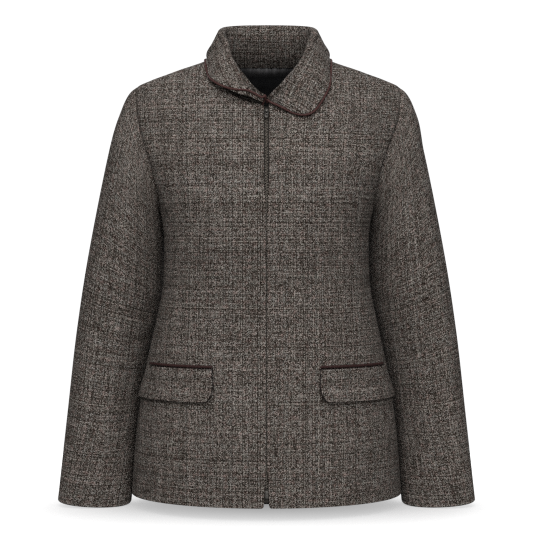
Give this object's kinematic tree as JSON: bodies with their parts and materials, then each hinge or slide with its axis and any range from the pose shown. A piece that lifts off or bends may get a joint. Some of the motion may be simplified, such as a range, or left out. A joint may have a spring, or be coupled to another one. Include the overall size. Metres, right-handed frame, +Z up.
{
  "type": "jacket",
  "caption": "Hip-length fitted tweed jacket with set-in sleeves, a turned-down rounded collar edged in piping, a zip front and flap pockets, hollow as worn.",
  "frame": {"origin": "on the middle line at the base of the neck, level with the neck ends of the shoulder seams, where a wearer or a form holds the jacket", "axes": "+Z up from hem to collar, the zip front faces -Y, +X is the wearer's left"},
  "size_m": [0.6036, 0.2934, 0.6998],
  "materials": {
    "wool_tweed": "matt wool tweed of grey, beige and brown yarns",
    "black_satin": "satin lining",
    "wine_satin": "satin-covered cord",
    "zip_tape_cloth": "woven tape",
    "gunmetal": "dark satin metal"
  },
  "bodies": {
    "jacket": {"back": "wool_tweed", "collar": "wool_tweed", "collar_piping": "wine_satin", "flap_left": "wool_tweed", "flap_right": "wool_tweed", "front_left": "wool_tweed", "front_right": "wool_tweed", "lining_back": "black_satin", "pocket_piping_left": "wine_satin", "pocket_piping_right": "wine_satin", "sleeve_left": "wool_tweed", "sleeve_right": "wool_tweed", "zip_box": "gunmetal", "zip_chain": "gunmetal", "zip_slider": "gunmetal", "zip_tape": "zip_tape_cloth"},
    "zip_pull": {"zip_pull": "gunmetal"}
  },
  "joints": [
    {"name": "zip_pull_swing", "type": "hinge", "parent": "jacket", "child": "zip_pull", "pos_m": [0, -0.08465, -0.07617], "axis": [-1, 0, 0], "range_deg": [0, 120]}
  ]
}
